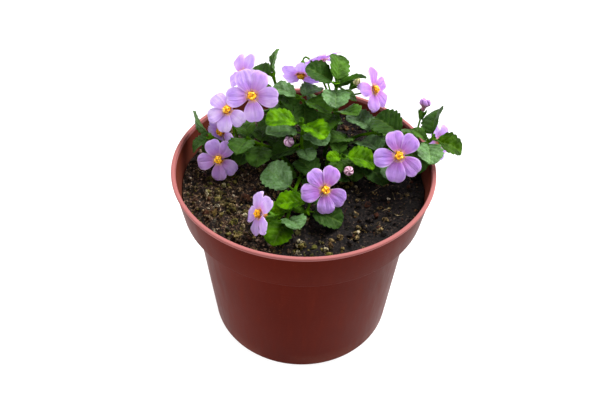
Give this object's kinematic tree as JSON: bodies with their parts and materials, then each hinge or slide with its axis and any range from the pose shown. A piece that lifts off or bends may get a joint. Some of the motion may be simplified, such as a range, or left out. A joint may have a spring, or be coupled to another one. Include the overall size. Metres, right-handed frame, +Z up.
{
  "type": "potted bacopa",
  "caption": "Flowering bacopa plant with toothed leaves and lilac five-petalled blooms, rooted in soil in a round plastic nursery pot that stands on its flat base",
  "frame": {"origin": "middle of the pot's flat base, on the surface it stands on", "axes": "+Z up, +X to the right of the picture, -Y towards the picture's viewer"},
  "size_m": [0.1202, 0.11, 0.1226],
  "materials": {
    "pot_plastic": "satin terracotta-coloured moulded plastic",
    "potting_soil": "damp fibrous potting soil",
    "leaf_green": "soft leaf with a dull sheen",
    "petal_lilac": "thin soft petal",
    "eye_yellow": "powdery stamens",
    "bud_pink": "soft closed bud"
  },
  "bodies": {
    "root": {"pot": "pot_plastic", "soil": "potting_soil", "bloom_1": "petal_lilac", "eye_1": "eye_yellow", "bloom_2": "petal_lilac", "eye_2": "eye_yellow", "bloom_3": "petal_lilac", "eye_3": "eye_yellow", "bloom_4": "petal_lilac", "eye_4": "eye_yellow", "bloom_5": "petal_lilac", "eye_5": "eye_yellow", "bloom_6": "petal_lilac", "eye_6": "eye_yellow", "bloom_7": "petal_lilac", "eye_7": "eye_yellow", "bloom_8": "petal_lilac", "eye_8": "eye_yellow", "bloom_9": "petal_lilac", "eye_9": "eye_yellow", "bloom_10": "petal_lilac", "eye_10": "eye_yellow", "bloom_11": "petal_lilac", "eye_11": "eye_yellow", "bloom_12": "petal_lilac", "eye_12": "eye_yellow", "bud_1": "bud_pink", "bud_2": "bud_pink", "bud_3": "leaf_green", "bud_4": "bud_pink", "stem_front_left": "leaf_green", "stem_front": "leaf_green", "stem_centre_right": "leaf_green", "stem_right": "leaf_green", "stem_right_tip": "leaf_green", "stem_top": "leaf_green", "stem_top_left": "leaf_green", "stem_centre": "leaf_green", "stem_centre_back": "leaf_green", "stem_back_right": "leaf_green", "stem_left": "leaf_green", "stem_mid_left": "leaf_green"}
  },
  "joints": []
}
